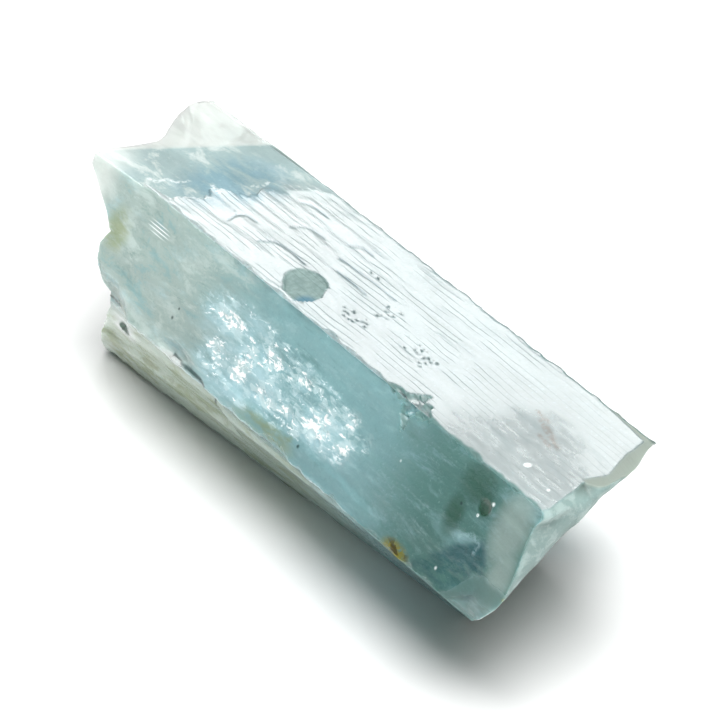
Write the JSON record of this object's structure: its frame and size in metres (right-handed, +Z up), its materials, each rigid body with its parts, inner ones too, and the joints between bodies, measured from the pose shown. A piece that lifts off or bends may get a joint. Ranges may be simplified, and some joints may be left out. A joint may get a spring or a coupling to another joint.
{
  "type": "aquamarine crystal",
  "caption": "Loose crystal of pale blue-green beryl: a hexagonal prism with flat long faces, broken off unevenly at both ends, lying on one long face.",
  "frame": {"origin": "on the surface it rests on, under the middle of its box", "axes": "+X along the crystal's long axis, towards the steep front break; +Z up; +Y towards its far side"},
  "size_m": [0.0392, 0.013, 0.0105],
  "materials": {
    "beryl": "vitreous on the long faces, frosted and cloudy inside, with small iron stains"
  },
  "bodies": {
    "root": {"crystal": "beryl"}
  },
  "joints": []
}
